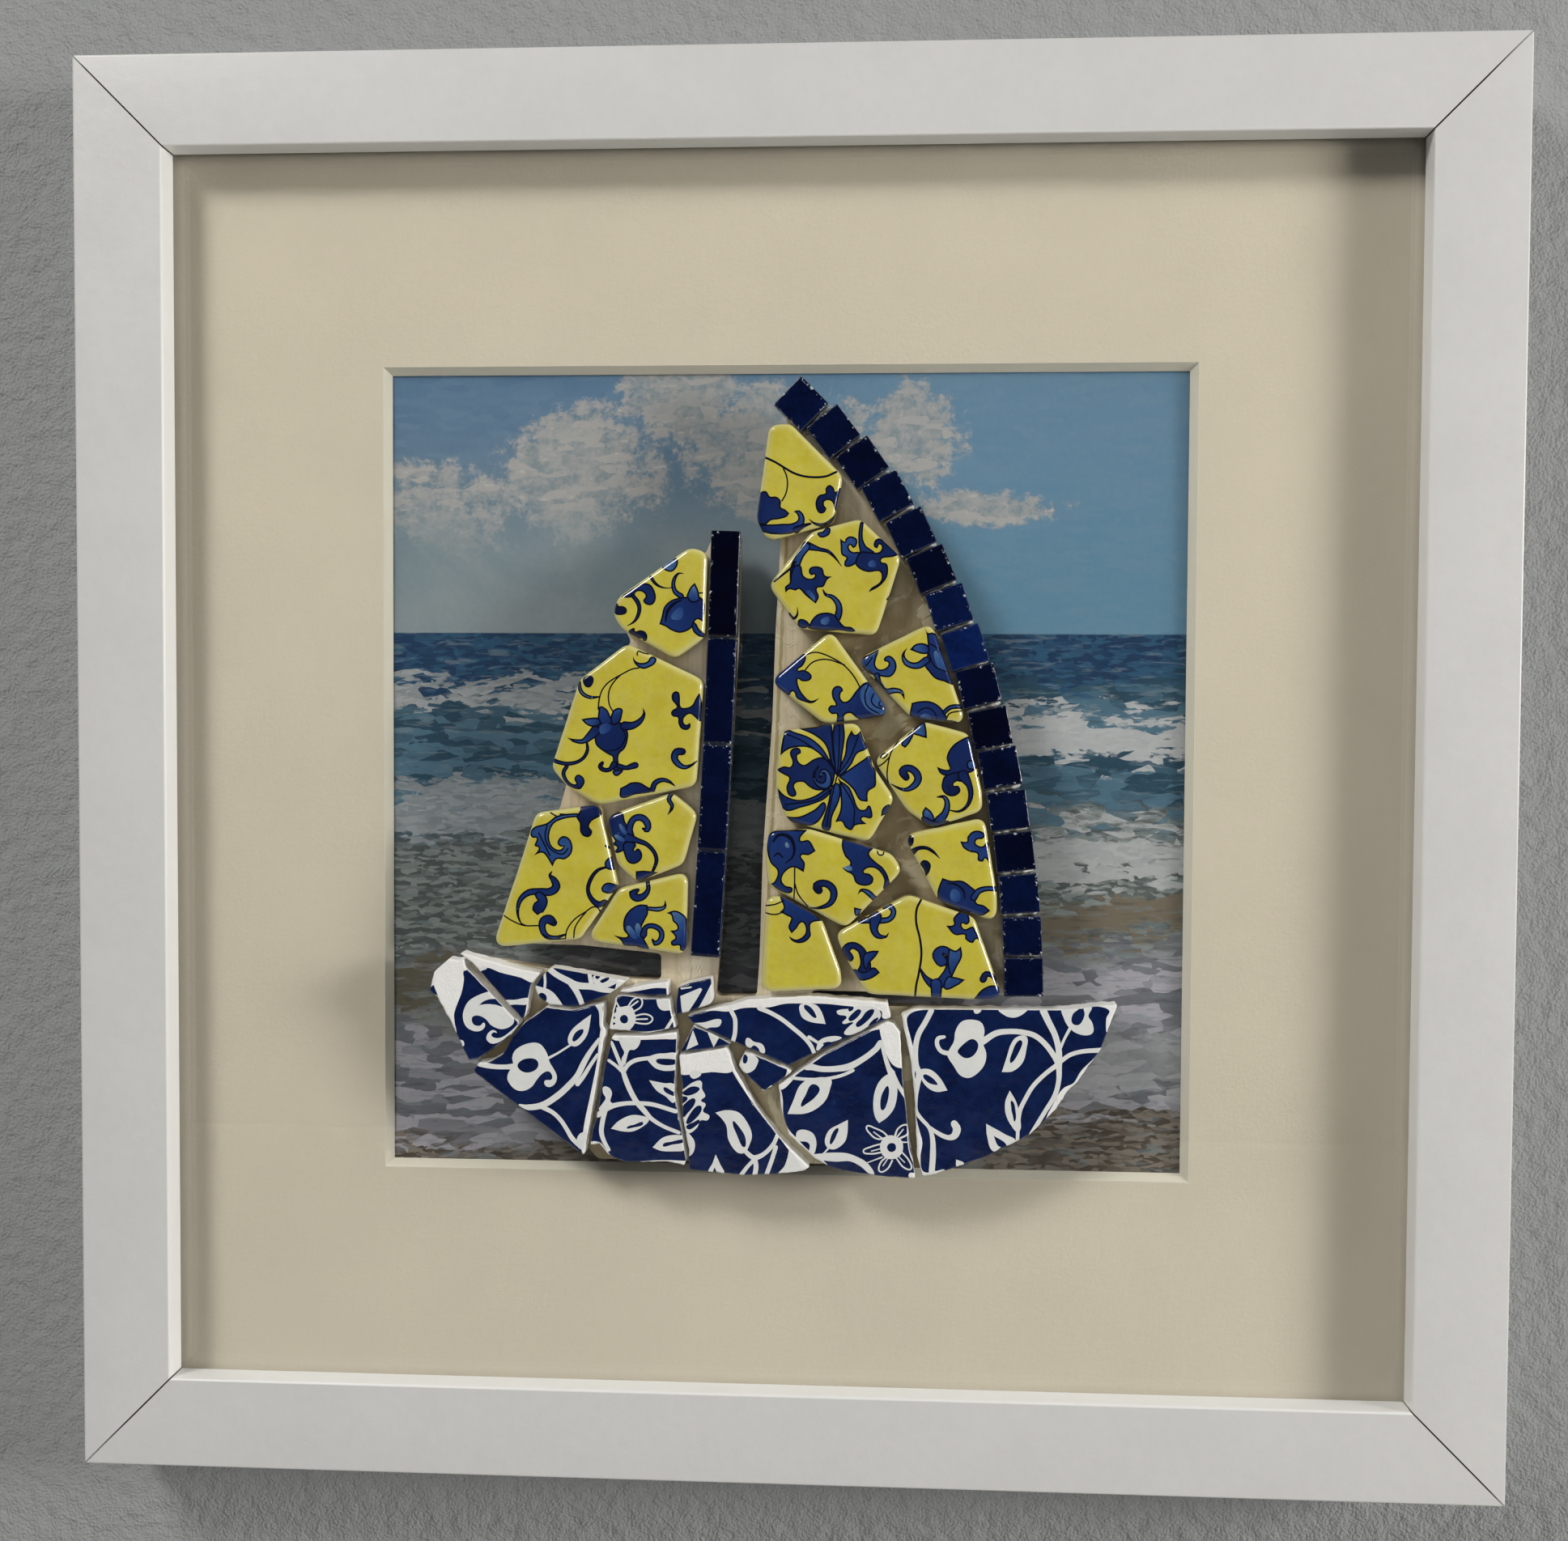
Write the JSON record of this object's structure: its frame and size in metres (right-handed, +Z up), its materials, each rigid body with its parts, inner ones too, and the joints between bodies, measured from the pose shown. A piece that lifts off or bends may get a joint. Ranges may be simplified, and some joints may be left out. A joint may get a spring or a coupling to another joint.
{
  "type": "framed ceramic mosaic wall hanging",
  "caption": "Square white picture frame holding a ceramic and glass mosaic sailing boat glued on its pane, over a matted seascape print, with a hanger on the back.",
  "frame": {"origin": "middle of the hanger's flat back face, where the wall nail holds the picture", "axes": "+Y towards the wall, +Z up, +X to the viewer's right; the picture faces -Y"},
  "size_m": [0.27, 0.0207, 0.27],
  "materials": {
    "white_paint": "satin white paint on wood",
    "clear_glass": "clear and smooth",
    "cream_card": "matt cream card with a bevelled window",
    "printed_paper": "printed painting of sea, surf, sand and clouds",
    "brown_board": "bare pressed fibre board",
    "birch_ply": "bare pale plywood with glue marks",
    "yellow_glaze": "glossy yellow glaze with blue scrollwork under it",
    "blue_glaze": "glossy cobalt glaze with white vines and flowers, white broken edges",
    "dark_tile": "opaque dark navy, glossy",
    "zinc_steel": "zinc plated sheet"
  },
  "bodies": {
    "root": {"top_rail": "white_paint", "right_rail": "white_paint", "bottom_rail": "white_paint", "left_rail": "white_paint", "glass_pane": "clear_glass", "mat_board": "cream_card", "printed_seascape": "printed_paper", "backing_board": "brown_board", "sawtooth_hanger": "zinc_steel", "plywood_boat": "birch_ply", "mast_tile_1": "dark_tile", "mast_tile_2": "dark_tile", "mast_tile_3": "dark_tile", "mast_tile_4": "dark_tile", "sail_edge_tile_01": "dark_tile", "sail_edge_tile_02": "dark_tile", "sail_edge_tile_03": "dark_tile", "sail_edge_tile_04": "dark_tile", "sail_edge_tile_05": "dark_tile", "sail_edge_tile_06": "dark_tile", "sail_edge_tile_07": "dark_tile", "sail_edge_tile_08": "dark_tile", "sail_edge_tile_09": "dark_tile", "sail_edge_tile_10": "dark_tile", "sail_edge_tile_11": "dark_tile", "sail_edge_tile_12": "dark_tile", "sail_edge_tile_13": "dark_tile", "sail_edge_tile_14": "dark_tile", "sail_edge_tile_15": "dark_tile", "sail_edge_tile_16": "dark_tile", "fore_sail_shard_1": "yellow_glaze", "fore_sail_shard_2": "yellow_glaze", "fore_sail_shard_3": "yellow_glaze", "fore_sail_shard_4": "yellow_glaze", "fore_sail_shard_5": "yellow_glaze", "main_sail_shard_01": "yellow_glaze", "main_sail_shard_02": "yellow_glaze", "main_sail_shard_03": "yellow_glaze", "main_sail_shard_04": "yellow_glaze", "main_sail_shard_05": "yellow_glaze", "main_sail_shard_06": "yellow_glaze", "main_sail_shard_07": "yellow_glaze", "main_sail_shard_08": "yellow_glaze", "main_sail_shard_09": "yellow_glaze", "main_sail_shard_10": "yellow_glaze", "hull_shard_01": "blue_glaze", "hull_shard_02": "blue_glaze", "hull_shard_03": "blue_glaze", "hull_shard_04": "blue_glaze", "hull_shard_05": "blue_glaze", "hull_shard_06": "blue_glaze", "hull_shard_07": "blue_glaze", "hull_shard_08": "blue_glaze", "hull_shard_09": "blue_glaze", "hull_shard_10": "blue_glaze", "hull_shard_11": "blue_glaze", "hull_shard_12": "blue_glaze", "hull_shard_13": "blue_glaze", "hull_shard_14": "blue_glaze"}
  },
  "joints": []
}
